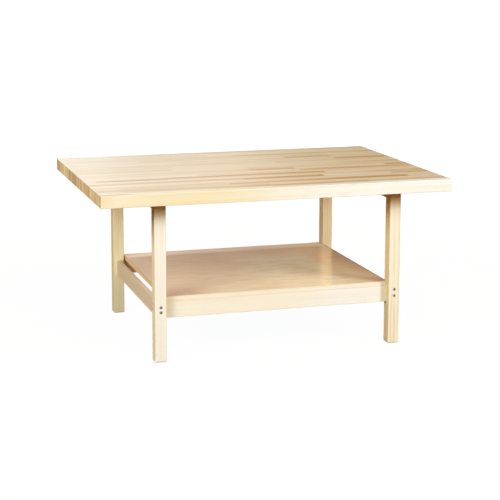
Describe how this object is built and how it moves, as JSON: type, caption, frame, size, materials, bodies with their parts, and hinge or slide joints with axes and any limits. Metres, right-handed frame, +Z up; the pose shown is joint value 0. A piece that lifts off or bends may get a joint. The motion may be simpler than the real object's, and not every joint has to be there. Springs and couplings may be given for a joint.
{
  "type": "assembly table",
  "caption": "Maple assembly table: thick laminated butcher-block top on a bolted four-legged base with a low wooden shelf.",
  "frame": {"origin": "on the floor under the middle of the top", "axes": "+X along the length of the top, -Y towards the user, +Z up"},
  "size_m": [1.596, 1.11, 0.762],
  "materials": {
    "maple_top": "oiled satin, laminated strips",
    "maple_frame": "clear satin lacquer",
    "shelf_board": "glossy clear lacquer",
    "shelf_band": "clear satin lacquer",
    "beech_dowel": "raw",
    "black_steel": "black oxide",
    "zinc_steel": "zinc plated"
  },
  "bodies": {
    "root": {"top_slab": "maple_top", "leg_front_left": "maple_frame", "leg_front_right": "maple_frame", "leg_back_left": "maple_frame", "leg_back_right": "maple_frame", "upper_rail_left": "maple_frame", "upper_rail_right": "maple_frame", "end_stretcher_left": "maple_frame", "end_stretcher_right": "maple_frame", "long_rail_front": "maple_frame", "long_rail_back": "maple_frame", "shelf_panel": "shelf_board", "shelf_front_band": "shelf_band", "shelf_back_band": "shelf_band", "connector_bolts": "black_steel", "bolt_washers": "black_steel", "barrel_nuts": "zinc_steel", "upper_rail_dowels": "beech_dowel", "top_screws": "zinc_steel", "top_screw_washers": "zinc_steel", "shelf_screws": "zinc_steel"}
  },
  "joints": []
}
